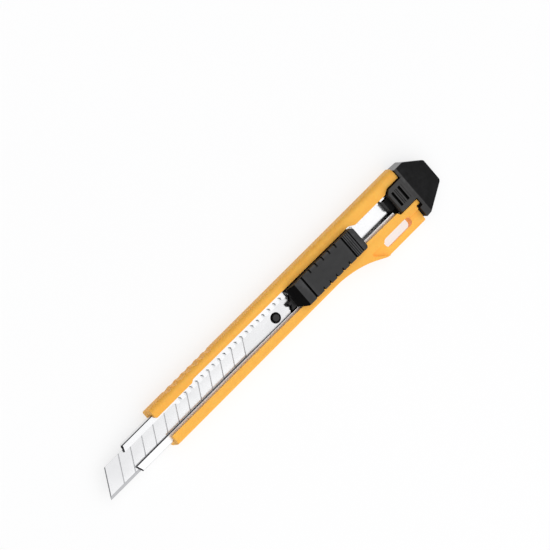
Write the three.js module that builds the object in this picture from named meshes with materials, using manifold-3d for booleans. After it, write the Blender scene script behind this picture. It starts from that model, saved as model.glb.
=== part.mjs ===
// Snap-off utility knife with a 9 mm blade: a moulded handle with a folded steel
// channel inside, a scored blade on a sliding carrier, a ribbed thumb pad, a detent
// leaf and a plug-in end cap. Units are millimetres. +X runs to the end cap, +Y to
// the spine with the grip scallops, +Z out of the slotted face, Z = 0 is the flat back.
import * as THREE from "three";
import { mergeVertices } from "three/addons/utils/BufferGeometryUtils.js";
import Module from "manifold-3d";

const wasm = await Module();
wasm.setup();

// ---------------------------------------------------------------- driving dimensions
const CENTRE_X = 46.5; // middle of the overall length, in design coordinates
const CENTRE_Y = -2.5; // middle of the overall width

const HANDLE_LENGTH = 109.7;
const SPINE_Y = 7.5; // spine side of the grip
const BELLY_Y = -7.0; // cutting-edge side of the grip
const HANDLE_T = 5.9; // thickness, back to rail tops
const BACK_WALL = 1.2;
const CHANNEL_HALF = 5.6; // moulded channel that holds the steel sleeve
const RAIL_Z = 4.4; // underside of the two rails
const LUG_Y = -12.5; // lowest edge of the lanyard lug
const LUG_END = 108.2;
const LUG_STEP = 1.0; // the lug's face lies this far under the rail tops
const SLOT_X = [92.3, 104.1]; // lanyard slot
const SLOT_Y = [-10.2, -7.1];
const SCALLOPS = 7;
const SCALLOP_X0 = 9.0;
const SCALLOP_PITCH = 3.0;
const SCALLOP_R = 1.9;
const SCALLOP_DEPTH = 0.45;

const SLEEVE_X = [-14.6, 103.3];
const SLEEVE_HALF = 5.5;
const SHEET = 0.5; // sheet thickness of the sleeve
const SLEEVE_Z = [1.3, 4.3];
const LIP_UPPER = 2.3; // free edge of the notched lip
const LIP_LOWER = -3.1; // free edge of the plain lip
const NOTCH_DEPTH = 1.0;
const NOTCH_PITCH = 2.5;
const NOTCH_X0 = 10.0;
const NOTCH_COUNT = 37;

const BLADE_TIP = -27.2;
const BLADE_W = 9.0;
const BLADE_Y0 = -4.9; // cutting edge
const BLADE_T = 0.4;
const BLADE_Z = 3.0;
const BLADE_TAIL = 59.3; // spine end of the tail
const BLADE_ANGLE = Math.PI / 3; // snap angle
const BEVEL_W = 1.0; // ground bevel
const SCORE_PITCH = 5.0;
const SCORES = 12;
const SCORE_X0 = -17.0; // first score line, measured at y = SCORE_Y
const SCORE_Y = 2.3;
const PEG_X = 50.4;
const PEG_Y = -0.75;
const PEG_R = 1.6;
const BLADE_HOLE_R = 1.8;

const PAD_X = [57.6, 86.9];
const PAD_Y = [-4.4, 4.0];
const PAD_Z = [6.1, 8.7];
const NECK_X = [62.5, 83.5];
const NECK_Y = [-2.6, 1.95];

const CAP_X = 109.85;
const CAP_END = 120.2;
const CAP_TOP = 6.7;
const TAB_X = [102.8, 109.85];
const TAB_Y = [-4.6, 3.8];
const TAB_Z = [5.0, 7.4];
const TONGUE_X = [100.9, 103.6];

// ---------------------------------------------------------------- helpers
function solid(geometry) {
  const g = (geometry.index ? geometry.toNonIndexed() : geometry).clone();
  g.deleteAttribute("normal");
  g.deleteAttribute("uv");
  const m = mergeVertices(g, 1e-4);
  return new wasm.Manifold(
    new wasm.Mesh({
      numProp: 3,
      vertProperties: m.attributes.position.array,
      triVerts: new Uint32Array(m.index.array),
    }),
  );
}

function box(x0, x1, y0, y1, z0, z1) {
  const g = new THREE.BoxGeometry(x1 - x0, y1 - y0, z1 - z0);
  g.translate((x0 + x1) / 2, (y0 + y1) / 2, (z0 + z1) / 2);
  return solid(g);
}

// Extrudes an outline of [x, y] points from z0 to z1.
function prism(points, z0, z1) {
  const shape = new THREE.Shape(points.map(([x, y]) => new THREE.Vector2(x, y)));
  const g = new THREE.ExtrudeGeometry(shape, { depth: z1 - z0, bevelEnabled: false });
  g.translate(0, 0, z0);
  return solid(g);
}

// Extrudes a section of [y, z] points from x0 to x1.
function beam(points, x0, x1) {
  const shape = new THREE.Shape(points.map(([y, z]) => new THREE.Vector2(y, z)));
  const g = new THREE.ExtrudeGeometry(shape, { depth: x1 - x0, bevelEnabled: false });
  g.applyMatrix4(
    new THREE.Matrix4().set(0, 0, 1, x0, 1, 0, 0, 0, 0, 1, 0, 0, 0, 0, 0, 1),
  );
  return solid(g);
}

// Extrudes a section of [x, z] points from y0 to y1.
function slab(points, y0, y1) {
  const shape = new THREE.Shape(points.map(([x, z]) => new THREE.Vector2(x, z)));
  const g = new THREE.ExtrudeGeometry(shape, { depth: y1 - y0, bevelEnabled: false });
  g.applyMatrix4(
    new THREE.Matrix4().set(1, 0, 0, 0, 0, 0, -1, y1, 0, 1, 0, 0, 0, 0, 0, 1),
  );
  return solid(g);
}

function rod(x, y, r, z0, z1, sides = 24) {
  const g = new THREE.CylinderGeometry(r, r, z1 - z0, sides);
  g.rotateX(Math.PI / 2);
  g.translate(x, y, (z0 + z1) / 2);
  return solid(g);
}

// Replaces each corner of a polygon by an arc; corners are [x, y, radius].
function rounded(corners, steps = 4) {
  const out = [];
  const n = corners.length;
  for (let i = 0; i < n; i++) {
    const [x, y, r = 0] = corners[i];
    if (!r) {
      out.push([x, y]);
      continue;
    }
    const p = new THREE.Vector2(x, y);
    const a = new THREE.Vector2(...corners[(i + n - 1) % n].slice(0, 2)).sub(p);
    const b = new THREE.Vector2(...corners[(i + 1) % n].slice(0, 2)).sub(p);
    const half = Math.acos(a.clone().normalize().dot(b.clone().normalize())) / 2;
    const t = Math.min(r / Math.tan(half), a.length() * 0.49, b.length() * 0.49);
    const p0 = p.clone().addScaledVector(a.normalize(), t);
    const p1 = p.clone().addScaledVector(b.normalize(), t);
    for (let k = 0; k <= steps; k++) {
      const s = k / steps;
      out.push([
        (1 - s) * (1 - s) * p0.x + 2 * s * (1 - s) * p.x + s * s * p1.x,
        (1 - s) * (1 - s) * p0.y + 2 * s * (1 - s) * p.y + s * s * p1.y,
      ]);
    }
  }
  return out;
}

const group = new THREE.Group();
group.position.set(-CENTRE_X, -CENTRE_Y, 0);

function place(name, manifold, colour, roughness, metalness) {
  const mesh = manifold.getMesh();
  const g = new THREE.BufferGeometry();
  g.setAttribute("position", new THREE.BufferAttribute(mesh.vertProperties, 3));
  g.setIndex(new THREE.BufferAttribute(mesh.triVerts, 1));
  g.computeVertexNormals();
  const out = new THREE.Mesh(
    g,
    new THREE.MeshStandardMaterial({ color: colour, roughness, metalness }),
  );
  out.name = name;
  group.add(out);
}

// ---------------------------------------------------------------- handle
// The grip is a C-section with rounded long edges; the lug hangs under its rear.
const gripSection = rounded(
  [
    [BELLY_Y, 0, 1.2],
    [SPINE_Y, 0, 1.3],
    [SPINE_Y, HANDLE_T, 1.6],
    [BELLY_Y, HANDLE_T, 1.0],
  ],
  4,
);
let handle = beam(gripSection, 0, HANDLE_LENGTH);
const lugOutline = rounded([
  [70, -5.9],
  [70, -6.9],
  [76.1, -7.1],
  [79.5, -7.65],
  [82.8, -8.5],
  [86.1, -9.8],
  [89.5, -11.6],
  [91.6, LUG_Y, 2.0],
  [LUG_END, LUG_Y, 0.8],
  [LUG_END, -5.9],
]);
handle = handle.add(prism(lugOutline, 0.4, HANDLE_T - LUG_STEP));
// channel for the sleeve, open at the front and the rear
handle = handle.subtract(
  box(-1, HANDLE_LENGTH + 1, -CHANNEL_HALF, CHANNEL_HALF, BACK_WALL, RAIL_Z),
);
// slot between the rails: wide along the slider's travel, narrower behind it
handle = handle.subtract(
  prism(
    [
      [-1, -3.45],
      [86, -3.8],
      [TAB_X[0] - 0.9, -4.05],
      [TAB_X[0] - 0.3, TAB_Y[0] - 0.6],
      [HANDLE_LENGTH + 1, TAB_Y[0] - 0.6],
      [HANDLE_LENGTH + 1, TAB_Y[1] + 0.3],
      [TAB_X[0] + 1.0, TAB_Y[1] + 0.3],
      [TAB_X[0] - 0.3, 2.83],
      [89.0, 2.83],
      [88.1, 3.1],
      [86.8, 4.25],
      [18.2, 4.55],
      [16.9, 4.12],
      [-1, 4.12],
    ],
    RAIL_Z - 0.5,
    HANDLE_T + 1,
  ),
);
// lanyard slot
handle = handle.subtract(
  prism(
    rounded(
      [
        [SLOT_X[0], SLOT_Y[0], 0.7],
        [SLOT_X[1], SLOT_Y[0], 0.7],
        [SLOT_X[1], SLOT_Y[1], 0.7],
        [SLOT_X[0], SLOT_Y[1], 0.7],
      ],
      3,
    ),
    -1,
    HANDLE_T + 1,
  ),
);
// its lower wall is drafted, wider at the back
handle = handle.subtract(
  beam(
    [
      [SLOT_Y[0] - 0.95, -1],
      [SLOT_Y[0] + 1, -1],
      [SLOT_Y[0] + 1, HANDLE_T - LUG_STEP],
      [SLOT_Y[0], HANDLE_T - LUG_STEP],
      [SLOT_Y[0] - 0.95, 0.3],
    ],
    SLOT_X[0] + 0.5,
    SLOT_X[1] - 0.5,
  ),
);
// grip scallops across the spine
for (let i = 0; i < SCALLOPS; i++)
  handle = handle.subtract(
    rod(
      SCALLOP_X0 + i * SCALLOP_PITCH,
      SPINE_Y + SCALLOP_R - SCALLOP_DEPTH,
      SCALLOP_R,
      -1,
      HANDLE_T + 1,
      28,
    ),
  );
place("handle_body", handle, 0xf7b344, 0.45, 0.0);

// ---------------------------------------------------------------- sleeve
const h = SLEEVE_HALF;
const [sz0, sz1] = SLEEVE_Z;
let sleeve = beam(
  [
    [-h + 0.3, sz0],
    [h - 0.3, sz0],
    [h, sz0 + 0.3],
    [h, sz1 - 0.3],
    [h - 0.3, sz1],
    [LIP_UPPER, sz1],
    [LIP_UPPER, sz1 - SHEET],
    [h - SHEET, sz1 - SHEET],
    [h - SHEET, sz0 + SHEET],
    [-h + SHEET, sz0 + SHEET],
    [-h + SHEET, sz1 - SHEET],
    [LIP_LOWER, sz1 - SHEET],
    [LIP_LOWER, sz1],
    [-h + 0.3, sz1],
    [-h, sz1 - 0.3],
    [-h, sz0 + 0.3],
  ],
  ...SLEEVE_X,
);
for (let i = 0; i < NOTCH_COUNT; i++) {
  const x = NOTCH_X0 + i * NOTCH_PITCH;
  sleeve = sleeve.subtract(
    prism(
      [
        [x - 0.65, LIP_UPPER - 0.1],
        [x + 0.65, LIP_UPPER - 0.1],
        [x + 0.25, LIP_UPPER + NOTCH_DEPTH],
        [x - 0.25, LIP_UPPER + NOTCH_DEPTH],
      ],
      sz1 - SHEET - 0.2,
      sz1 + 0.2,
    ),
  );
}
// front corners of both lips are cut back
for (const s of [1, -1])
  sleeve = sleeve.subtract(
    prism(
      s > 0
        ? [
            [SLEEVE_X[0] - 1, h + 1],
            [SLEEVE_X[0] - 1, LIP_UPPER - 0.3],
            [SLEEVE_X[0] + 0.1, LIP_UPPER - 0.3],
            [SLEEVE_X[0] + 1.1, h - 0.5],
            [SLEEVE_X[0] + 1.9, h + 1],
          ].reverse()
        : [
            [SLEEVE_X[0] - 1, -h - 1],
            [SLEEVE_X[0] - 1, LIP_LOWER + 0.3],
            [SLEEVE_X[0] + 0.1, LIP_LOWER + 0.3],
            [SLEEVE_X[0] + 0.7, -h + 0.6],
            [SLEEVE_X[0] + 1.6, -h - 1],
          ],
      sz1 - SHEET - 0.1,
      sz1 + 0.2,
    ),
  );
place("blade_sleeve", sleeve, 0xe4e5e6, 0.28, 1.0);

// ---------------------------------------------------------------- blade
const lean = 1 / Math.tan(BLADE_ANGLE); // x gained for each mm of y
const bladeY1 = BLADE_Y0 + BLADE_W;
const bz0 = BLADE_Z;
const bz1 = BLADE_Z + BLADE_T;
let blade = prism(
  [
    [BLADE_TIP, BLADE_Y0],
    [BLADE_TAIL - BLADE_W * lean, BLADE_Y0],
    [BLADE_TAIL, bladeY1],
    [BLADE_TIP + BLADE_W * lean, bladeY1],
  ],
  bz0,
  bz1,
);
// ground bevel on both faces along the cutting edge
const edge = 0.04;
for (const [zf, ze] of [
  [bz1, bz0 + BLADE_T / 2 + edge],
  [bz0, bz0 + BLADE_T / 2 - edge],
]) {
  const out = zf > bz0 + 0.1 ? zf + 1 : zf - 1;
  const pts = [
    [BLADE_Y0 - 1, ze + (ze - zf) / BEVEL_W],
    [BLADE_Y0 + BEVEL_W, zf],
    [BLADE_Y0 + BEVEL_W, out],
    [BLADE_Y0 - 1, out],
  ];
  blade = blade.subtract(
    beam(zf > bz0 + 0.1 ? pts : pts.reverse(), BLADE_TIP - 2, BLADE_TAIL + 2),
  );
}
for (let i = 0; i < SCORES; i++) {
  // each score line is a shallow groove, parallel to the tip's edge
  const x = SCORE_X0 + i * SCORE_PITCH - SCORE_Y * lean;
  const at = (y, d) => [x + y * lean + d, y];
  blade = blade.subtract(
    prism(
      [
        at(BLADE_Y0 + BEVEL_W + 0.05, -0.13),
        at(BLADE_Y0 + BEVEL_W + 0.05, 0.13),
        at(bladeY1 - 0.05, 0.13),
        at(bladeY1 - 0.05, -0.13),
      ],
      bz1 - 0.1,
      bz1 + 0.2,
    ),
  );
}
blade = blade.subtract(rod(PEG_X, PEG_Y, BLADE_HOLE_R, bz0 - 1, bz1 + 1, 28));
place("snap_off_blade", blade, 0xdcdee0, 0.3, 1.0);

// ---------------------------------------------------------------- blade carrier
// A plate slides in the sleeve under the blade's tail; a peg holds the blade and a
// neck rises through the slot to the thumb pad.
let carrier = prism(
  rounded([
    [47.0, -4.3, 0.8],
    [85.6, -4.3, 0.6],
    [85.6, 4.0, 0.6],
    [47.0, 4.0, 0.8],
  ]),
  1.95,
  2.85,
);
carrier = carrier.add(rod(PEG_X, PEG_Y, PEG_R, 2.6, 3.95, 28));
// shoulder behind the blade's tail, parallel to it
carrier = carrier.add(
  prism(
    [
      [BLADE_TAIL - (bladeY1 - NECK_Y[0]) * lean + 0.35, NECK_Y[0]],
      [85.2, NECK_Y[0]],
      [85.2, NECK_Y[1]],
      [BLADE_TAIL - (bladeY1 - NECK_Y[1]) * lean + 0.35, NECK_Y[1]],
    ],
    2.6,
    4.9,
  ),
);
carrier = carrier.add(box(NECK_X[0], NECK_X[1], NECK_Y[0], NECK_Y[1], 4.5, 7.3));
// nose that keeps the blade's tail down
carrier = carrier.add(box(55.4, 60.0, -0.85, 0.15, 3.5, 4.9));
// pocket for the detent leaf, in the spine side of the shoulder
carrier = carrier.subtract(box(65.4, 80.6, 0.9, 4.4, 3.0, 4.35));
place("blade_carrier", carrier, 0x141414, 0.5, 0.0);

// ---------------------------------------------------------------- detent leaf
// A folded strip of spring steel: two end pads in the pocket and a bump in a notch.
const bumpX = NOTCH_X0 + 25 * NOTCH_PITCH;
const leafC = [
  [66.0, 1.5],
  [68.0, 1.5],
  [bumpX - 0.55, 1.95],
  [bumpX - 0.1, 2.95],
  [bumpX + 0.1, 2.95],
  [bumpX + 0.55, 1.95],
  [78.0, 1.5],
  [80.0, 1.5],
];
const leaf = prism(
  [...leafC.map(([x, y]) => [x, y - 0.3]), ...leafC.slice().reverse()],
  3.35,
  4.2,
);
place("detent_spring", leaf, 0xb9bcc0, 0.3, 1.0);

// ---------------------------------------------------------------- thumb slider
const [px0, px1] = PAD_X;
const [pz0, pz1] = PAD_Z;
let pad = slab(
  [
    [px0, pz0],
    [px1, pz0],
    [px1, pz1 - 0.5],
    [px1 - 0.5, pz1 - 0.1],
    [px1 - 4.4, pz1 - 0.1],
    [px1 - 4.8, pz1 - 0.75],
    [px1 - 5.3, pz1 - 0.75],
    [px1 - 5.8, pz1 - 0.35],
    [px0 + 6.9, pz1 - 0.35],
    [px0 + 6.5, pz1 - 0.75],
    [px0 + 6.1, pz1 - 0.75],
    [px0 + 5.8, pz1],
    [px0 + 2.9, pz1],
    [px0, pz0 + 0.4],
  ],
  ...PAD_Y,
);
for (const x of [px1 - 1.2, px1 - 2.3, px1 - 3.4])
  pad = pad.subtract(box(x - 0.2, x + 0.2, PAD_Y[0] - 1, PAD_Y[1] + 1, pz1 - 0.45, pz1 + 1));
for (let i = 0; i < 6; i++)
  for (const s of [1, -1]) {
    const x = px0 + 11.0 + i * 2.75;
    pad = pad.subtract(
      box(x - 0.2, x + 0.2, s > 0 ? PAD_Y[1] - 0.7 : PAD_Y[0] - 1, s > 0 ? PAD_Y[1] + 1 : PAD_Y[0] + 0.7, pz1 - 0.75, pz1 + 1),
    );
  }
// socket that snaps over the carrier's neck
pad = pad.subtract(
  box(NECK_X[0] - 0.3, NECK_X[1] + 0.3, NECK_Y[0] - 0.3, NECK_Y[1] + 0.3, pz0 - 1, 7.6),
);
place("thumb_slider", pad, 0x3b3b3c, 0.55, 0.0);

// ---------------------------------------------------------------- end cap
let cap = prism(
  rounded([
    [CAP_X, -7.6],
    [LUG_END + 0.25, -7.6],
    [LUG_END + 0.25, -11.45],
    [110.4, -11.3, 0.8],
    [CAP_END, -6.4, 1.2],
    [CAP_END, 2.1, 1.2],
    [113.7, 6.75, 0.8],
    [CAP_X, 6.95],
  ]),
  0.3,
  CAP_TOP,
);
// the top slopes down to the rear
cap = cap.subtract(
  slab(
    [
      [113.0, CAP_TOP],
      [CAP_END + 1, 4.3],
      [CAP_END + 1, CAP_TOP + 2],
      [113.0, CAP_TOP + 2],
    ],
    -20,
    20,
  ),
);
cap = cap.subtract(
  slab(
    [
      [116.0, 0.2],
      [116.0, -1],
      [CAP_END + 1, -1],
      [CAP_END + 1, 1.6],
    ],
    -20,
    20,
  ),
);
// neck that fills the handle's mouth, grip tab on top of it, tongue in the sleeve
cap = cap.add(box(103.7, CAP_X + 0.5, -5.2, 5.2, 1.6, 4.1));
cap = cap.add(box(104.2, CAP_X + 0.5, TAB_Y[0] + 0.2, TAB_Y[1] - 0.1, 3.5, 5.2));
let tab = slab(
  [
    [TAB_X[0], TAB_Z[0]],
    [CAP_X + 0.6, TAB_Z[0]],
    [CAP_X + 0.6, TAB_Z[1] - 0.4],
    [TAB_X[0] + 1.0, TAB_Z[1]],
    [TAB_X[0] + 0.2, TAB_Z[1] - 0.4],
    [TAB_X[0], TAB_Z[1] - 1.2],
  ],
  ...TAB_Y,
);
for (const x of [104.9, 106.0, 107.4, 108.4])
  tab = tab.subtract(box(x - 0.18, x + 0.18, -2.9, 2.9, TAB_Z[1] - 0.6, TAB_Z[1] + 1));
// the tab's spine-side front corner is cut off
tab = tab.subtract(
  prism(
    [
      [TAB_X[0] - 1, TAB_Y[1] - 2.35],
      [TAB_X[0] + 1.5 + 0.2, TAB_Y[1] + 0.2],
      [TAB_X[0] - 1, TAB_Y[1] + 0.2],
    ],
    TAB_Z[0] - 1,
    TAB_Z[1] + 1,
  ),
);
cap = cap.add(tab);
cap = cap.add(box(TONGUE_X[0], 104.5, -4.5, 4.5, 2.2, 3.45));
cap = cap.add(box(TONGUE_X[0], 104.5, -2.5, 1.95, 2.2, 5.3));
// a slot across the tongue's root lets it flex as it snaps in
cap = cap.subtract(box(101.2, 101.7, -4, 4, 4.6, 5.6));
place("end_cap", cap, 0x242425, 0.5, 0.0);

export default group;
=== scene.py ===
import math

import bmesh
import bpy
from mathutils import Matrix, Vector


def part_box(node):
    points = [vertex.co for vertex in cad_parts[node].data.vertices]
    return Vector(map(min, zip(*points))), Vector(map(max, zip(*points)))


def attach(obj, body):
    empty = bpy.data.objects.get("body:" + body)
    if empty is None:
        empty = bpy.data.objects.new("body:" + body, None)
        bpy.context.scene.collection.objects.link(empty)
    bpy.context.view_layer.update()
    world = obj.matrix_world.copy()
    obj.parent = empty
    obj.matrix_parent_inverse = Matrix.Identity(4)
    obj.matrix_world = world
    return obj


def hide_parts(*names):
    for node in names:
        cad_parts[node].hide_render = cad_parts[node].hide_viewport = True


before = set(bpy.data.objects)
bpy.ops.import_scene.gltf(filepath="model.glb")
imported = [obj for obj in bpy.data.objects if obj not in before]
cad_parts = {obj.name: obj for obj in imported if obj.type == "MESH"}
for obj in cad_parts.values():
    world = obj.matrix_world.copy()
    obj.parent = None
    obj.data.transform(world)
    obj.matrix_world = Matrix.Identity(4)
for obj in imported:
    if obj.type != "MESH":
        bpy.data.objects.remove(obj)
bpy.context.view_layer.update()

scene = bpy.context.scene

# Design coordinates are millimetres: x from the handle's front end, y from the middle
# of the steel channel, z from the flat back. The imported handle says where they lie.
_lo, _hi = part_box("handle_body")
OX = _lo[0] * 1000.0
OY = _hi[1] * 1000.0 - 7.5


def W(x, y, z):
    """Design millimetres to the row frame, in metres."""
    return Vector(((x + OX) / 1000.0, (y + OY) / 1000.0, z / 1000.0))


# ------------------------------------------------------------------ camera
cam_data = bpy.data.cameras.new("Camera")
cam = bpy.data.objects.new("Camera", cam_data)
scene.collection.objects.link(cam)
scene.camera = cam
cam_data.sensor_width = 36.0
cam_data.lens = 36.0 * 4798.2 / 550.0
cam_data.clip_start = 0.05
cam_data.clip_end = 20.0
right = Vector((0.685816117, -0.636246669, 0.353336142))
down = Vector((-0.683488298, -0.729856271, 0.012392362))
fwd = Vector((0.25, -0.25, -0.9354143466934853))
cam.matrix_world = Matrix(
    (
        (right.x, -down.x, -fwd.x, -0.361440),
        (right.y, -down.y, -fwd.y, 0.385991),
        (right.z, -down.z, -fwd.z, 1.403851),
        (0, 0, 0, 1),
    )
)

# ------------------------------------------------------------------ mesh helpers


def _object(name, bm):
    bmesh.ops.recalc_face_normals(bm, faces=bm.faces)
    me = bpy.data.meshes.new(name)
    bm.to_mesh(me)
    bm.free()
    ob = bpy.data.objects.new(name, me)
    scene.collection.objects.link(ob)
    return ob


def extrude(points, a, b, place, name="tool"):
    """Closed solid from an outline, between two offsets; place(p, q, h) gives x, y, z."""
    bm = bmesh.new()
    low = [bm.verts.new(place(p, q, a)) for p, q in points]
    high = [bm.verts.new(place(p, q, b)) for p, q in points]
    n = len(points)
    bm.faces.new(low[::-1])
    bm.faces.new(high)
    for i in range(n):
        bm.faces.new((low[i], low[(i + 1) % n], high[(i + 1) % n], high[i]))
    return _object(name, bm)


def prism(points, z0, z1, name="tool"):
    return extrude(points, z0, z1, lambda p, q, h: (p, q, h), name)


def beam(points, x0, x1, name="tool"):
    return extrude(points, x0, x1, lambda p, q, h: (h, p, q), name)


def slab(points, y0, y1, name="tool"):
    return extrude(points, y0, y1, lambda p, q, h: (p, h, q), name)


def block(x0, x1, y0, y1, z0, z1, name="tool"):
    return prism([(x0, y0), (x1, y0), (x1, y1), (x0, y1)], z0, z1, name)


def loft(low_points, high_points, z0, z1, name="tool"):
    """Solid between two outlines with the same number of points."""
    bm = bmesh.new()
    low = [bm.verts.new((x, y, z0)) for x, y in low_points]
    high = [bm.verts.new((x, y, z1)) for x, y in high_points]
    n = len(low)
    bm.faces.new(low[::-1])
    bm.faces.new(high)
    for i in range(n):
        bm.faces.new((low[i], low[(i + 1) % n], high[(i + 1) % n], high[i]))
    return _object(name, bm)


def disc_points(x, y, r, n=40, ry=None):
    ry = r if ry is None else ry
    return [
        (x + r * math.cos(2 * math.pi * i / n), y + ry * math.sin(2 * math.pi * i / n))
        for i in range(n)
    ]


def lathe(x, y, profile, n=40, name="tool"):
    """Solid of revolution about a vertical line; profile runs from axis to axis."""
    bm = bmesh.new()
    rings = []
    for r, z in profile:
        if r < 1e-6:
            rings.append([bm.verts.new((x, y, z))])
        else:
            rings.append(
                [
                    bm.verts.new(
                        (
                            x + r * math.cos(2 * math.pi * i / n),
                            y + r * math.sin(2 * math.pi * i / n),
                            z,
                        )
                    )
                    for i in range(n)
                ]
            )
    for a, b in zip(rings, rings[1:]):
        for i in range(n):
            j = (i + 1) % n
            quad = [a[i % len(a)], a[j % len(a)], b[j % len(b)], b[i % len(b)]]
            unique = []
            for v in quad:
                if v not in unique:
                    unique.append(v)
            if len(unique) > 2:
                bm.faces.new(unique)
    return _object(name, bm)


def rounded(corners, step=12.0):
    """True arcs at the corners of a polygon; corners are (x, y, radius)."""
    out = []
    n = len(corners)
    for i in range(n):
        c = corners[i]
        p = Vector(c[:2])
        r = c[2] if len(c) > 2 else 0.0
        if r <= 0:
            out.append(tuple(p))
            continue
        a = Vector(corners[i - 1][:2]) - p
        b = Vector(corners[(i + 1) % n][:2]) - p
        la, lb = a.length, b.length
        a.normalize()
        b.normalize()
        ang = math.acos(max(-1.0, min(1.0, a.dot(b))))
        t = r / math.tan(ang / 2)
        limit = min(la, lb) * 0.495
        if t > limit:
            t = limit
            r = t * math.tan(ang / 2)
        mid = (a + b).normalized()
        centre = p + mid * (r / math.sin(ang / 2))
        p0, p1 = p + a * t, p + b * t
        v0, v1 = p0 - centre, p1 - centre
        sweep = math.pi - ang
        sign = 1.0 if v0.x * v1.y - v0.y * v1.x > 0 else -1.0
        k = max(2, int(math.ceil(math.degrees(sweep) / step)))
        for s in range(k + 1):
            th = sign * sweep * s / k
            out.append(
                (
                    centre.x + v0.x * math.cos(th) - v0.y * math.sin(th),
                    centre.y + v0.x * math.sin(th) + v0.y * math.cos(th),
                )
            )
    return out


def _bake(ob):
    dg = bpy.context.evaluated_depsgraph_get()
    me = bpy.data.meshes.new_from_object(ob.evaluated_get(dg))
    ob.modifiers.clear()
    old = ob.data
    ob.data = me
    bpy.data.meshes.remove(old)
    return ob


def _tidy(ob, flat=0.4):
    bm = bmesh.new()
    bm.from_mesh(ob.data)
    bmesh.ops.remove_doubles(bm, verts=bm.verts, dist=1e-4)
    bmesh.ops.dissolve_limit(
        bm, angle_limit=math.radians(flat), verts=bm.verts, edges=bm.edges
    )
    bm.to_mesh(ob.data)
    bm.free()
    return ob


def combine(ob, tool, op):
    m = ob.modifiers.new("b", "BOOLEAN")
    m.operation = op
    m.solver = "EXACT"
    m.object = tool
    _bake(ob)
    bpy.data.objects.remove(tool)
    return ob


def cut(ob, *tools):
    for t in tools:
        combine(ob, t, "DIFFERENCE")
    return ob


def add(ob, *tools):
    for t in tools:
        combine(ob, t, "UNION")
    return ob


def keep(ob, tool):
    return combine(ob, tool, "INTERSECT")


def round_edges(ob, width, segments=3, angle=28.0, flat=0.4):
    _tidy(ob, flat)
    m = ob.modifiers.new("bevel", "BEVEL")
    m.width = width
    m.segments = segments
    m.limit_method = "ANGLE"
    m.angle_limit = math.radians(angle)
    m.use_clamp_overlap = True
    m.miter_outer = "MITER_ARC"
    m.harden_normals = False
    _bake(ob)
    return ob


def finish_piece(ob, name, node, body, materials, smooth=32.0):
    """Names the piece, moves it into the row frame and hangs it on its body."""
    ob.name = name
    ob.data.name = name
    ob.data.transform(
        Matrix.Translation(W(0, 0, 0)) @ Matrix.Scale(0.001, 4)
    )
    me = ob.data
    for p in me.polygons:
        p.use_smooth = True
    me.set_sharp_from_angle(angle=math.radians(smooth))
    wn = ob.modifiers.new("normals", "WEIGHTED_NORMAL")
    wn.keep_sharp = True
    wn.weight = 80
    me.materials.clear()
    for m in materials if isinstance(materials, (list, tuple)) else [materials]:
        me.materials.append(m)
    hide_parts(node)
    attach(ob, body)
    return ob


# ------------------------------------------------------------------ materials


class Nodes:
    def __init__(self, name):
        self.m = bpy.data.materials.new(name)
        self.m.use_nodes = True
        self.t = self.m.node_tree
        self.bsdf = self.t.nodes["Principled BSDF"]
        self.coord = self.new("ShaderNodeTexCoord").outputs["Object"]

    def new(self, kind, **values):
        n = self.t.nodes.new(kind)
        for k, v in values.items():
            setattr(n, k, v)
        return n

    def link(self, a, b):
        self.t.links.new(a, b)

    def mapped(self, scale, turn=0.0):
        """Object coordinates in millimetres, turned about Z, times scale."""
        source = self.coord
        if turn:
            t = self.new("ShaderNodeMapping")
            t.inputs["Rotation"].default_value = (0.0, 0.0, -turn)
            self.link(source, t.inputs["Vector"])
            source = t.outputs["Vector"]
        n = self.new("ShaderNodeMapping")
        n.inputs["Scale"].default_value = tuple(1000.0 * s for s in scale)
        self.link(source, n.inputs["Vector"])
        return n.outputs["Vector"]

    def noise(self, scale, detail=2.0, rough=0.5, distortion=0.0, turn=0.0):
        n = self.new("ShaderNodeTexNoise")
        n.inputs["Scale"].default_value = 1.0
        n.inputs["Detail"].default_value = detail
        n.inputs["Roughness"].default_value = rough
        n.inputs["Distortion"].default_value = distortion
        self.link(self.mapped(scale, turn), n.inputs["Vector"])
        return n.outputs["Fac"]

    def ramp(self, fac, stops):
        n = self.new("ShaderNodeValToRGB")
        e = n.color_ramp.elements
        while len(e) < len(stops):
            e.new(0.5)
        for el, (pos, col) in zip(e, stops):
            el.position = pos
            el.color = (col, col, col, 1) if isinstance(col, (int, float)) else (*col, 1)
        self.link(fac, n.inputs["Fac"])
        return n.outputs["Color"]

    def mix(self, fac, a, b, mode="MIX"):
        n = self.new("ShaderNodeMix", data_type="RGBA", blend_type=mode)
        for value, socket in ((fac, n.inputs[0]), (a, n.inputs[6]), (b, n.inputs[7])):
            if hasattr(value, "links"):
                self.link(value, socket)
            elif isinstance(value, (int, float)):
                socket.default_value = (
                    value if socket.type == "VALUE" else (value, value, value, 1)
                )
            else:
                socket.default_value = (*value, 1)
        return n.outputs[2]

    def math(self, op, a, b=0.0, c=0.0):
        n = self.new("ShaderNodeMath", operation=op)
        for i, v in enumerate((a, b, c)):
            if hasattr(v, "links"):
                self.link(v, n.inputs[i])
            else:
                n.inputs[i].default_value = v
        return n.outputs[0]

    def range(self, fac, lo, hi, fmin=0.0, fmax=1.0):
        n = self.new("ShaderNodeMapRange")
        n.inputs["From Min"].default_value = fmin
        n.inputs["From Max"].default_value = fmax
        n.inputs["To Min"].default_value = lo
        n.inputs["To Max"].default_value = hi
        self.link(fac, n.inputs["Value"])
        return n.outputs["Result"]

    def bump(self, height, strength, distance_mm, normal=None):
        n = self.new("ShaderNodeBump")
        n.inputs["Strength"].default_value = strength
        n.inputs["Distance"].default_value = distance_mm / 1000.0
        self.link(height, n.inputs["Height"])
        if normal is not None:
            self.link(normal, n.inputs["Normal"])
        return n.outputs["Normal"]

    def pointiness(self):
        return self.new("ShaderNodeNewGeometry").outputs["Pointiness"]


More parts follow.
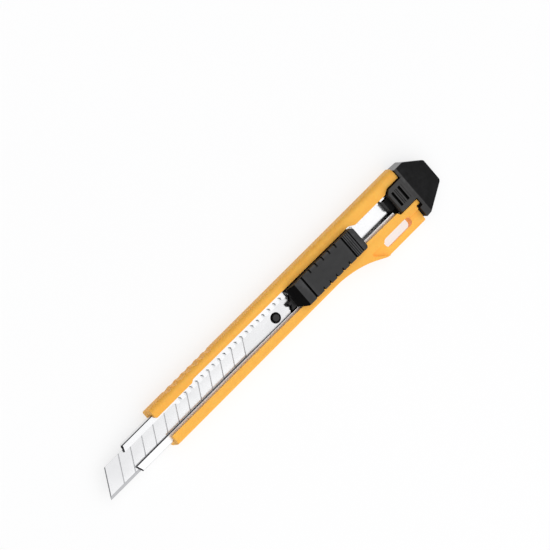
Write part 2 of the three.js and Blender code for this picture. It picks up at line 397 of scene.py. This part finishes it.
def plastic(
    name,
    base,
    rough=(0.38, 0.5),
    specular=0.5,
    grain=5.0,
    grain_depth=0.012,
    variation=0.05,
    edge=None,
    flow=0.0,
    sss=0.0,
    scuffs=0.15,
):
    """Moulded plastic: spark-eroded grain, slight colour drift, paler edges where it is handled, and a few fine
    scuffs."""
    k = Nodes(name)
    drift = k.noise((0.06, 0.12, 0.12), detail=3.0)
    dark = tuple(c * (1 - variation) for c in base)
    light = tuple(min(1.0, c * (1 + variation)) for c in base)
    colour = k.ramp(drift, [(0.3, dark), (0.7, light)])
    mottle = k.noise((1.4, 1.4, 1.4), detail=4.0, rough=0.65)
    colour = k.mix(
        k.range(mottle, 0.0, 0.16, 0.35, 0.75), colour, tuple(c * 0.86 for c in base)
    )
    if edge is not None:
        worn = k.range(k.pointiness(), 0.0, 1.0, 0.52, 0.60)
        patch = k.range(k.noise((0.5, 0.5, 0.5), detail=5.0, rough=0.7), 0.15, 1.0, 0.4, 0.65)
        colour = k.mix(k.math("MULTIPLY", worn, patch), colour, edge)
    scratch = k.noise((0.25, 9.0, 9.0), detail=2.0, distortion=0.4)
    scratch_mask = k.range(scratch, 0.0, 1.0, 0.66, 0.72)
    patches = k.range(k.noise((0.12, 0.2, 0.2), detail=2.0), 0.0, scuffs, 0.5, 0.7)
    marks = k.math("MULTIPLY", scratch_mask, patches)
    colour = k.mix(marks, colour, tuple(min(1.0, c * 1.35 + 0.02) for c in base))
    k.link(colour, k.bsdf.inputs["Base Color"])
    shine = k.noise((0.35, 0.6, 0.6), detail=4.0, rough=0.6)
    roughness = k.range(shine, rough[0], rough[1], 0.3, 0.7)
    roughness = k.math("ADD", roughness, k.math("MULTIPLY", marks, 0.5))
    k.link(roughness, k.bsdf.inputs["Roughness"])
    fine = k.noise((grain, grain, grain), detail=3.0, rough=0.6)
    n = k.bump(fine, 0.6, grain_depth)
    broad = k.noise((0.22, 0.35, 0.35), detail=1.0)
    n = k.bump(broad, 0.25, 0.05, n)
    k.link(n, k.bsdf.inputs["Normal"])
    k.bsdf.inputs["Specular IOR Level"].default_value = specular
    if sss:
        k.bsdf.inputs["Subsurface Weight"].default_value = sss
        k.bsdf.inputs["Subsurface Radius"].default_value = (1.0, 0.45, 0.12)
        k.bsdf.inputs["Subsurface Scale"].default_value = 0.0008
    return k.m


def steel(name, base, rough=(0.2, 0.34), grain=(0.12, 14.0, 14.0), depth=0.004, stain=0.06, metallic=1.0, turn=0.0):
    """Rolled or ground steel with a directional grain, faint smudges and fine scratches."""
    k = Nodes(name)
    lines = k.noise(grain, detail=5.0, rough=0.7, turn=turn)
    cloud = k.noise((0.1, 0.18, 0.18), detail=4.0, rough=0.55)
    tone = k.ramp(
        cloud,
        [(0.25, tuple(c * (1 - stain) for c in base)), (0.75, base)],
    )
    tone = k.mix(k.range(lines, 0.0, 0.22, 0.4, 0.75), tone, tuple(c * 0.8 for c in base))
    k.link(tone, k.bsdf.inputs["Base Color"])
    r = k.range(lines, rough[0], rough[1], 0.3, 0.7)
    r = k.math("ADD", r, k.range(cloud, 0.0, 0.08, 0.35, 0.75))
    k.link(r, k.bsdf.inputs["Roughness"])
    n = k.bump(lines, 0.5, depth)
    k.link(n, k.bsdf.inputs["Normal"])
    k.bsdf.inputs["Metallic"].default_value = metallic
    return k.m


M_HANDLE = plastic(
    "handle_plastic", (0.97, 0.47, 0.075), rough=(0.36, 0.48), specular=0.16, grain=4.5,
    grain_depth=0.010, variation=0.035, edge=(0.98, 0.52, 0.09), sss=0.1, scuffs=0.12,
)
M_PAD = plastic(
    "slider_plastic", (0.016, 0.016, 0.0165), rough=(0.5, 0.62), specular=0.4, grain=5.0,
    grain_depth=0.018, variation=0.08, edge=(0.045, 0.045, 0.047), scuffs=0.25,
)
# the carrier's own black plastic; also used as painted shade on the pad's ramp and grooves and in the cap's finger
# grooves
M_CARRIER_AND_SHADE = plastic(
    "carrier_plastic", (0.002, 0.002, 0.0022), rough=(0.42, 0.55), specular=0.06, grain=5.0,
    grain_depth=0.010, variation=0.08, edge=(0.012, 0.012, 0.012), scuffs=0.2,
)
M_CAP = plastic(
    "cap_plastic", (0.0025, 0.0025, 0.0027), rough=(0.46, 0.58), specular=0.1, grain=5.0,
    grain_depth=0.015, variation=0.08, edge=(0.03, 0.03, 0.032), scuffs=0.25,
)
M_CAP_GRIP = plastic(
    "cap_grip_plastic", (0.018, 0.017, 0.0168), rough=(0.5, 0.62), specular=0.4, grain=5.0,
    grain_depth=0.018, variation=0.08, edge=(0.05, 0.05, 0.05), scuffs=0.25,
)
M_CAP_SIDE = plastic(
    "cap_polished_side", (0.004, 0.004, 0.0043), rough=(0.10, 0.16), specular=0.8, grain=5.0,
    grain_depth=0.001, variation=0.05, scuffs=0.1,
)
M_TAB = plastic(
    "cap_tab_plastic", (0.028, 0.027, 0.0265), rough=(0.5, 0.62), specular=0.4, grain=5.0,
    grain_depth=0.018, variation=0.08, edge=(0.06, 0.06, 0.06), scuffs=0.25,
)
M_SLEEVE = steel("sleeve_steel", (0.85, 0.852, 0.855), rough=(0.10, 0.18))
# sheared rims: darker steel, partly their own colour and partly painted shade; also a painted dark reflection along
# the folded spine edge
M_SHEAR_SHADE_REFLECTION = steel(
    "sleeve_sheared_edge_painted_shade_reflection", (0.045, 0.045, 0.05), rough=(0.4, 0.6), grain=(8.0, 3.0, 3.0), depth=0.01
)
# top of the lower lip: a paler, less metallic steel, a painted highlight that lifts the shade of the rail beside it
M_LIP_PAINTED_BRIGHT = steel(
    "sleeve_lip_painted_bright", (0.95, 0.95, 0.955), rough=(0.22, 0.34), stain=0.03, metallic=0.6
)
# inner rim of the lower lip: grey, partly its own sheared colour and partly painted shade of the gap beneath it
M_RIM_AND_SHADE = steel(
    "sleeve_lip_rim_painted_shade", (0.5, 0.5, 0.51), rough=(0.3, 0.5), grain=(8.0, 3.0, 3.0), depth=0.01
)
M_BLADE = steel(
    "blade_steel", (0.73, 0.732, 0.736), rough=(0.12, 0.22), grain=(0.22, 5.0, 5.0), depth=0.003,
    turn=math.pi / 3,
)
M_BEVEL = steel("blade_ground_edge", (0.44, 0.442, 0.45), rough=(0.26, 0.4), grain=(9.0, 0.3, 3.0), depth=0.006)
M_SCORE = steel("blade_score", (0.48, 0.482, 0.49), rough=(0.35, 0.5), grain=(6.0, 6.0, 6.0))
M_END = steel("blade_snapped_end", (0.22, 0.222, 0.23), rough=(0.4, 0.55), grain=(6.0, 6.0, 6.0), depth=0.008)
M_SPRING = steel("spring_steel", (0.62, 0.63, 0.65), rough=(0.2, 0.3))

# ------------------------------------------------------------------ handle
HANDLE_L, RAIL_TOP, LUG_Y, LUG_TOP = 109.7, 5.9, -12.5, 4.9
body_section = rounded(
    [(-7.0, 0, 1.2), (7.5, 0, 1.3), (7.5, RAIL_TOP, 1.6), (-7.0, RAIL_TOP, 0.9)], step=11
)
handle = beam(body_section, -0.8, HANDLE_L, "handle")
# the front end leans back towards the rails
cut(handle, slab([(-3, -1), (-0.94, -1), (0.15, 7), (-3, 7)], -20, 20))

flare = [
    (70.0, -5.8), (70.0, -6.5), (73.4, -6.8), (76.1, -7.08), (78.2, -7.45), (80.2, -7.85),
    (82.2, -8.42), (84.2, -9.1), (86.2, -9.95), (88.2, -10.95), (89.6, -11.66),
    (91.5, LUG_Y, 2.2), (108.2, LUG_Y, 0.3), (108.2, -6.2),
]
lug = prism(rounded([(*p, 0) if len(p) == 2 else p for p in flare], step=10), 0.0, RAIL_TOP)
# the lug's face is recessed behind a sloping step that follows the flare
recess = prism(
    rounded(
        [
            (86.0, -7.85, 0.5), (109.5, -7.85), (109.5, -14.0), (92.2, -14.0),
            (91.2, -12.6), (89.3, -10.6, 1.5),
        ],
        step=12,
    ),
    LUG_TOP,
    RAIL_TOP + 1,
)
cut(lug, recess)
# its rim falls away towards the free edge
cut(lug, beam([(-9.6, LUG_TOP + 0.02), (-14.0, LUG_TOP - 1.15), (-14.0, 8.0), (-9.6, 8.0)], 91.8, 112.0))
round_edges(lug, 0.42, 4, 30)
add(handle, lug)

# the cavity for the steel channel and the slot through the top rail
cut(handle, block(-5, HANDLE_L + 5, -5.6, 5.6, 1.2, 4.4))
TAB_X0, TAB_Y0, TAB_Y1 = 102.8, -4.6, 3.8
slot_outline = rounded(
    [
        (-3, -3.45), (86, -3.8), (TAB_X0 - 1.0, -4.05, 0.25), (TAB_X0 - 0.3, TAB_Y0 - 0.6, 0.3),
        (HANDLE_L + 3, TAB_Y0 - 0.6), (HANDLE_L + 3, TAB_Y1 + 0.3), (TAB_X0 + 1.9, TAB_Y1 + 0.3, 0.2),
        (TAB_X0 + 0.9, TAB_Y1 - 0.1, 0.3), (TAB_X0 - 0.1, 3.0, 0.3), (89.0, 3.0, 0.8),
        (86.9, 4.22, 0.7), (50.0, 4.45), (17.0, 4.75, 0.4), (15.9, 4.08, 0.3), (0.35, 4.08, 0.3), (-0.3, 4.6), (-3, 4.6),
    ],
    step=14,
)
cut(handle, prism(slot_outline, 4.0, 7.0))
# the lower rail's inner wall is undercut down to the steel lip
cut(
    handle,
    loft(
        [(-3, -3.0), (-3, -4.0), (101.4, -4.6), (101.4, -3.0)],
        [(-3, -3.0), (-3, -3.47), (101.4, -4.0), (101.4, -3.0)],
        4.2, 5.75,
    ),
)
# lanyard slot, its lower wall drafted so that it opens towards the back
def slot_at(y_low):
    return rounded(
        [(92.4, y_low, 1.25), (104.2, y_low, 1.25), (104.2, -7.1, 1.25), (92.4, -7.1, 1.25)], step=12
    )


cut(handle, loft(slot_at(-11.4), slot_at(-9.85), -0.5, 6.5))
# scallops across the spine
for i in range(7):
    cx = 9.0 + 3.0 * i
    cut(handle, prism(disc_points(cx, 7.5 + 1.9 - 0.42, 1.9, 64), -1, 7))
round_edges(handle, 0.2, 3, 30)
handle = finish_piece(handle, "handle_shell", "handle_body", "handle", M_HANDLE)

# ------------------------------------------------------------------ steel channel
SH = 5.5
outer = rounded(
    [(-SH, 1.3, 0.75), (SH, 1.3, 0.75), (SH, 4.3, 0.75), (-SH, 4.3, 0.75)], step=15
)
sleeve = beam(outer, -14.6, 103.3, "sleeve")
inner = rounded(
    [(-SH + 0.5, 1.8, 0.25), (SH - 0.5, 1.8, 0.25), (SH - 0.5, 3.8, 0.25), (-SH + 0.5, 3.8, 0.25)],
    step=30,
)
cut(sleeve, beam(inner, -20, 110))
cut(sleeve, prism([(-20, -2.9), (110, -3.3), (110, 2.0), (8.8, 2.0), (7.4, 3.25), (-20, 3.25)], 3.5, 5.0))
mouths, roots = [(5.0, 1.0), (5.0, 1.4)], [(5.0, 1.0), (5.0, 1.4)]
for i in range(37):
    x = 10.0 + 2.5 * i
    mouths += [(x - 0.62, 1.4), (x - 0.5, 2.0), (x - 0.42, 3.0), (x + 0.36, 3.0), (x + 0.55, 2.0), (x + 0.66, 1.4)]
    roots += [(x - 0.42, 1.4), (x - 0.42, 3.02), (x - 0.3, 3.46), (x - 0.05, 3.54), (x + 0.6, 3.02), (x + 0.3, 1.4)]
mouths += [(102.4, 1.4), (102.4, 1.0)]
roots += [(102.4, 1.4), (102.4, 1.0)]
cut(sleeve, prism(mouths, 3.6, 4.6))
# the punch leaves the roots of the notches slanted and torn
roots = prism(roots, 3.6, 4.6)
for v in roots.data.vertices:
    v.co.x += (v.co.z - 4.3) * 0.75
cut(sleeve, roots)
# the front ends of both lips are cut back on a slant, the side walls straight
for outline in (
    [(-17, 6.5), (-17, 2.5), (-14.75, 2.5), (-14.4, 3.4), (-13.75, 5.0), (-13.2, 6.5)],
    [(-17, -6.5), (-13.3, -6.5), (-13.9, -5.0), (-14.5, -3.4), (-14.75, -2.5), (-17, -2.5)],
):
    end = prism(outline, 3.3, 5.0)
    for v in end.data.vertices:
        v.co.x += (v.co.z - 3.8) * 0.9
    cut(sleeve, end)
cut(
    sleeve,
    prism([(-16, 6.5), (-16, 4.0), (-13.9, 4.0), (-13.1, 5.2), (-12.8, 6.5)], 0.5, 3.8),
    prism([(-16, -6.5), (-12.9, -6.5), (-13.2, -5.2), (-13.9, -4.0), (-16, -4.0)], 0.5, 3.8),
    block(-16, -13.6, -6.5, 6.5, 0.5, 3.3),
    # the plain lip stops short of the cap's tab
    block(101.4, 110, -6.0, -2.0, 3.8, 5.0),
)
round_edges(sleeve, 0.06, 2, 40)
sleeve = finish_piece(
    sleeve, "steel_channel", "blade_sleeve", "handle", [M_SLEEVE, M_SHEAR_SHADE_REFLECTION, M_RIM_AND_SHADE, M_LIP_PAINTED_BRIGHT], smooth=35
)
# the sheared rims of the sheet are darker than its faces, partly their own colour and partly painted shade of the
# notches, the lips' ends and the gap under the lower lip; a strip of its folded spine edge is painted dark as a
# painted reflection, and the lower lip's top is painted brighter against the rail's shade
for p in sleeve.data.polygons:
    n, c = p.normal, p.center
    y, z, x = (c.y * 1000 - OY), c.z * 1000, c.x * 1000 - OX
    # front ends of the lips: sheared ends darkened, partly painted shade
    if z > 3.7 and x < -12.0 and n.x < -0.25:
        p.material_index = 1
    # walls of the notches in the upper lip: painted shade of the notches' shadows, on top of the sheared burr
    elif z > 3.7 and 2.95 < y < 4.9 and abs(n.z) < 0.96 and x > 7.0:
        p.material_index = 1
    # inner rim of the lower lip: partly painted shade of the gap under the lip
    elif z > 3.7 and -4.9 < y < 0 and abs(n.z) < 0.96:
        p.material_index = 2
    # top face of the lower lip: painted brighter against the rail's shade
    elif z > 4.2 and y < 0 and n.z > 0.96:
        p.material_index = 3
    # a strip of the folded spine edge: painted reflection of a dark horizon
    elif z > 3.7 and y > 4.9 and n.z > 0.1 and 28 < math.degrees(math.atan2(n.y, n.z)) < 62:
        p.material_index = 1

# ------------------------------------------------------------------ blade
BY0, BW, BZ0, BZ1 = -4.9, 9.0, 3.0, 3.4
LEAN = 1 / math.tan(math.pi / 3)
BY1 = BY0 + BW
tip, tail = -27.2, 59.3
blade = prism(
    [(tip, BY0), (tail - BW * LEAN, BY0), (tail, BY1), (tip + BW * LEAN, BY1)], BZ0, BZ1, "blade"
)
edge_t = 0.03
cut(
    blade,
    beam([(BY0 - 1, 3.2 + edge_t - 0.17), (BY0, 3.2 + edge_t), (BY0 + 1.0, BZ1), (BY0 + 1.0, 4.5), (BY0 - 1, 4.5)], tip - 3, tail + 3),
    beam([(BY0 - 1, 3.2 - edge_t + 0.17), (BY0, 3.2 - edge_t), (BY0 + 1.0, BZ0), (BY0 + 1.0, 2.0), (BY0 - 1, 2.0)], tip - 3, tail + 3),
)
for i in range(12):
    x = -17.0 + 5.0 * i - 2.3 * LEAN
    groove = slab([(x - 0.20, BZ1 + 0.01), (x - 0.12, BZ1 - 0.06), (x + 0.12, BZ1 - 0.06), (x + 0.20, BZ1 + 0.01), (x + 0.20, BZ1 + 0.4), (x - 0.20, BZ1 + 0.4)], BY0 - 1, BY1 + 1)
    for v in groove.data.vertices:
        v.co.x += v.co.y * LEAN
    cut(blade, groove)
# the snapped end has a slight burr along its top
end_x = tip - BY0 * LEAN
burr = slab([(end_x - 0.6, BZ1 - 0.1), (end_x, BZ1 - 0.1), (end_x + 0.3, BZ1 + 0.02), (end_x + 0.3, BZ1 + 0.4), (end_x - 0.6, BZ1 + 0.4)], BY0 - 1, BY1 + 1)
for v in burr.data.vertices:
    v.co.x += v.co.y * LEAN
cut(blade, burr)
cut(blade, prism(disc_points(50.4, -0.75, 1.8, 48), 2, 5))
_tidy(blade)
blade = finish_piece(
    blade, "scored_blade", "snap_off_blade", "slider", [M_BLADE, M_BEVEL, M_SCORE, M_END], smooth=20
)
for p in blade.data.polygons:
    n = p.normal
    y = p.center.y * 1000 - OY
    along = p.center.x * 1000 - OX - y * LEAN
    if n.x < -0.2 and along < end_x + 0.29:
        p.material_index = 3
    elif y < BY0 + 1.0 and 0.1 < abs(n.y) < 0.6:
        p.material_index = 1
    elif abs(n.x) > 0.3 or (n.z > 0.9 and BZ1 - 0.09 < p.center.z * 1000 < BZ1 - 0.03):
        p.material_index = 2

# ------------------------------------------------------------------ carrier
def tail_x(y, gap=0.35):
    return tail - (BY1 - y) * LEAN + gap


carrier = prism(
    rounded([(47.0, -4.3, 0.9), (85.6, -4.3, 0.7), (85.6, 4.0, 0.7), (47.0, 4.0, 0.9)], step=15), 1.95, 2.85, "carrier"
)
add(carrier, lathe(50.4, -0.75, [(0, 2.4), (1.6, 2.4), (1.6, 3.5), (1.5, 3.66), (1.2, 3.72), (1.15, 3.94), (0.9, 3.95), (0, 3.95)], 48))
shoulder = prism(
    [(tail_x(-2.6), -2.6), (85.2, -2.6), (85.2, 1.65), (tail_x(1.65), 1.65)], 2.5, 4.9
)
add(carrier, shoulder)
nose = slab([(55.4, 3.5), (60.0, 3.5), (60.0, 4.9), (56.1, 4.9), (55.4, 4.6)], -0.85, 0.15)
add(carrier, nose)
add(carrier, block(62.5, 83.5, -2.6, 1.65, 4.5, 7.3))
cut(carrier, block(65.4, 80.6, 0.9, 4.4, 3.0, 4.35))
round_edges(carrier, 0.1, 2, 35)
carrier = finish_piece(carrier, "carrier_moulding", "blade_carrier", "slider", [M_CARRIER_AND_SHADE, M_PAD])
# the peg's top and the nub's top are paler than the rest
for p in carrier.data.polygons:
    c = p.center * 1000
    if c.z > 3.9 and math.hypot(c.x - OX - 50.4, c.y - OY + 0.75) < 1.3:
        p.material_index = 1
    elif c.z > 4.85 and 56.2 < c.x - OX < 59.0 and p.normal.z > 0.9:
        p.material_index = 1

# ------------------------------------------------------------------ detent leaf
bump_x = 72.5
line = [(66.0, 1.5), (67.6, 1.5), (69.2, 1.58), (70.8, 1.76), (71.6, 1.88), (71.95, 1.98), (72.2, 2.4), (72.38, 2.84),
        (72.5, 2.94), (72.62, 2.84), (72.8, 2.4), (73.05, 1.98), (73.4, 1.88), (74.2, 1.76), (75.8, 1.58), (77.4, 1.5), (80.0, 1.5)]
leaf = prism([(x, y - 0.28) for x, y in line] + line[::-1], 3.35, 4.2, "leaf")
round_edges(leaf, 0.05, 2, 40)
leaf = finish_piece(leaf, "detent_leaf", "detent_spring", "slider", M_SPRING)

# ------------------------------------------------------------------ thumb pad
PX0, PX1, PY0, PY1, PZ0, PZ1 = 57.6, 86.9, -4.4, 4.0, 6.1, 8.7
pad = slab(
    [
        (PX0, PZ0), (PX1, PZ0), (PX1, PZ1 - 0.1), (PX1 - 4.65, PZ1 - 0.1), (PX1 - 4.75, PZ1 - 1.0),
        (PX1 - 5.15, PZ1 - 1.0), (PX1 - 5.25, PZ1 - 0.28), (PX0 + 6.5, PZ1 - 0.28), (PX0 + 6.3, PZ1 - 0.95),
        (PX0 + 5.8, PZ1 - 0.95), (PX0 + 5.7, PZ1), (PX0 + 2.9, PZ1), (PX0 + 0.1, PZ0 + 0.55),
    ],
    PY0, PY1, "pad",
)
# plan outline: rounded rear corners, cut-off front corner on the belly side
keep(
    pad,
    prism(
        rounded(
            [(PX0, -2.7, 0.3), (PX0 + 2.4, PY0, 0.4), (PX1, PY0, 0.95), (PX1, PY1, 0.95), (PX0 + 0.4, PY1, 0.2), (PX0, PY1 - 0.5, 0.2)],
            step=12,
        ),
        5.0, 9.5,
    ),
)
cut(pad, block(62.2, 83.8, -2.9, 2.25, 5.0, 7.6))
round_edges(pad, 0.16, 3, 30)
# one deep and three fine grooves make the rear ribs
for x, w in ((PX1 - 2.0, 0.22), (PX1 - 2.8, 0.1), (PX1 - 3.5, 0.1), (PX1 - 4.2, 0.1)):
    cut(pad, slab([(x - w, PZ1 + 0.5), (x - w, PZ1 - 0.2), (x - w * 0.5, PZ1 - 0.5), (x + w * 0.5, PZ1 - 0.5), (x + w, PZ1 - 0.2), (x + w, PZ1 + 0.5)], PY0 - 1, PY1 + 1))
# five short nicks in each long edge
for i in range(5):
    x = 67.2 + 2.9 * i
    for edge, s in ((PY1, 1), (PY0, -1)):
        cut(
            pad,
            beam(
                [(edge + s * 0.6, PZ1 + 0.3), (edge + s * 0.6, 7.1), (edge - s * 0.35, 7.2), (edge - s * 1.25, PZ1 - 0.33), (edge - s * 1.35, PZ1 + 0.3)],
                x - 0.29, x + 0.29,
            ),
        )
_tidy(pad)
pad = finish_piece(pad, "thumb_pad", "thumb_slider", "slider", [M_PAD, M_CARRIER_AND_SHADE])
# the front ramp, which faces away from the light, and the insides of the grooves and nicks are painted black as
# painted shade against the textured top
for p in pad.data.polygons:
    c, n = p.center * 1000, p.normal
    # front ramp and groove walls: painted shade
    if (n.x < -0.35 and c.x - OX < PX0 + 3.0) or (6.3 < c.z < PZ1 - 0.33 and abs(n.x) > 0.5 and c.x - OX > PX0 + 3.2 and c.x - OX < PX1 - 0.6):
        p.material_index = 1
    # groove and recess bottoms: painted shade
    elif n.z > 0.9 and c.z < PZ1 - 0.4 and PX0 + 5.5 < c.x - OX:
        p.material_index = 1

# ------------------------------------------------------------------ end cap
CX0, CX1, CTOP = 109.85, 120.2, 6.7
cap = prism(
    rounded(
        [
            (CX0, -7.6, 0.1), (108.6, -7.75, 0.1), (108.6, -11.45, 0.05), (110.5, -11.3, 1.2),
            (CX1, -6.5, 1.3), (CX1, 2.0, 1.3), (113.9, 6.75, 0.9), (CX0, 6.95, 0.1),
        ],
        step=10,
    ),
    0.3, CTOP, "cap",
)
# front band is level, the rest of the top slopes down to the rear
cut(cap, slab([(110.85, CTOP), (CX1 + 1, 4.4), (CX1 + 1, 9), (110.85, 9)], -20, 20))
cut(cap, slab([(115.5, 0.2), (CX1 + 1, 1.7), (CX1 + 1, -1), (115.5, -1)], -20, 20))
add(cap, block(103.7, CX0 + 0.5, -5.2, 5.2, 1.6, 4.1))
add(cap, block(104.2, CX0 + 0.5, TAB_Y0 + 0.2, TAB_Y1 - 0.1, 3.5, 5.2))
tab = slab(
    [(TAB_X0, 5.0), (CX0 + 0.6, 5.0), (CX0 + 0.6, 7.0), (109.2, 7.15), (TAB_X0 + 1.2, 7.4), (TAB_X0 + 0.4, 7.2), (TAB_X0, 6.3)],
    TAB_Y0, TAB_Y1,
)
cut(tab, prism([(TAB_X0 - 1, TAB_Y1 - 2.35), (TAB_X0 + 1.7, TAB_Y1 + 0.2), (TAB_X0 - 1, TAB_Y1 + 0.2)], 4, 9))
add(cap, tab)
add(cap, block(100.95, 104.5, -4.5, 4.5, 2.2, 3.45))
add(cap, block(100.95, 104.5, -2.5, 1.65, 2.2, 5.3))
round_edges(cap, 0.22, 3, 28)
# two deep finger grooves across the tab, with fine ribs between them
for x, w, d in ((104.5, 0.45, 1.1), (107.4, 0.48, 1.1), (105.6, 0.14, 0.35), (106.2, 0.14, 0.35), (108.5, 0.14, 0.3)):
    cut(cap, block(x - w, x + w, -3.0, 2.4, 7.35 - d, 9))
_tidy(cap)
cap = finish_piece(cap, "plug_cap", "end_cap", "cap", [M_CAP, M_CAP_GRIP, M_CARRIER_AND_SHADE, M_CAP_SIDE, M_TAB])
# the level front band and the tab top are paler than the sloping rear; the tongue is black, and the insides of the
# finger grooves are painted black as painted shade
for p in cap.data.polygons:
    c = p.center * 1000
    x, y = c.x - OX, c.y - OY
    # the tongue is black; the insides of the finger grooves are painted shade
    if x < 102.75 or (103.9 < x < 108.1 and c.z < 6.95 and -3.05 < y < 2.45 and c.z > 5.5):
        p.material_index = 2
    elif x < 109.3 and c.z > 6.2 and p.normal.z > 0.2:
        p.material_index = 4
    elif x < 110.9 and c.z > 6.2 and p.normal.z > 0.2:
        p.material_index = 1
    elif y > 4.0 and p.normal.y > 0.5 and x > 109.0:
        p.material_index = 3

# ------------------------------------------------------------------ floor
bm = bmesh.new()
bmesh.ops.create_grid(bm, x_segments=4, y_segments=4, size=2.5)
floor = _object("floor", bm)
floor.location = (0, 0, -0.0001)
kf = Nodes("floor_light_table")
tone = kf.noise((0.004, 0.004, 0.004), detail=2.0)
kf.link(kf.ramp(tone, [(0.3, 0.265), (0.7, 0.275)]), kf.bsdf.inputs["Base Color"])
kf.bsdf.inputs["Emission Color"].default_value = (1.0, 1.0, 1.0, 1.0)
kf.bsdf.inputs["Emission Strength"].default_value = 0.72
kf.bsdf.inputs["Roughness"].default_value = 0.9
kf.bsdf.inputs["Specular IOR Level"].default_value = 0.0
floor.data.materials.append(kf.m)

# ------------------------------------------------------------------ light
world = bpy.data.worlds.new("studio")
scene.world = world
world.use_nodes = True
wt = world.node_tree
bg = wt.nodes["Background"]
tc = wt.nodes.new("ShaderNodeTexCoord")
sep = wt.nodes.new("ShaderNodeSeparateXYZ")
rmp = wt.nodes.new("ShaderNodeValToRGB")
wt.links.new(tc.outputs["Generated"], sep.inputs[0])
lean_x = wt.nodes.new("ShaderNodeMath")
lean_x.operation = "MULTIPLY_ADD"
lean_x.inputs[1].default_value = 0.3
wt.links.new(sep.outputs["X"], lean_x.inputs[0])
wt.links.new(sep.outputs["Z"], lean_x.inputs[2])
lean_y = wt.nodes.new("ShaderNodeMath")
lean_y.operation = "MULTIPLY_ADD"
lean_y.inputs[1].default_value = -0.4
wt.links.new(sep.outputs["Y"], lean_y.inputs[0])
wt.links.new(lean_x.outputs[0], lean_y.inputs[2])
wt.links.new(lean_y.outputs[0], rmp.inputs["Fac"])
stops = ((0.0, 0.03), (0.16, 0.06), (0.46, 0.9), (0.75, 1.0))
while len(rmp.color_ramp.elements) < len(stops):
    rmp.color_ramp.elements.new(0.5)
for el, (pos, tone) in zip(rmp.color_ramp.elements, stops):
    el.position = pos
    el.color = (tone, tone, tone * 1.01, 1)
wt.links.new(rmp.outputs["Color"], bg.inputs["Color"])
bg.inputs["Strength"].default_value = 1.15


def area(name, loc, size, power, target=(0, 0, 0)):
    d = bpy.data.lights.new(name, "AREA")
    d.shape = "SQUARE"
    d.size = size
    d.energy = power
    o = bpy.data.objects.new(name, d)
    scene.collection.objects.link(o)
    o.location = loc
    o.rotation_euler = (Vector(target) - Vector(loc)).to_track_quat("-Z", "Y").to_euler()
    return o


area("softbox", (1.3, -0.9, 1.5), 1.6, 5.0)

scene.view_settings.view_transform = "Standard"
scene.view_settings.look = "None"
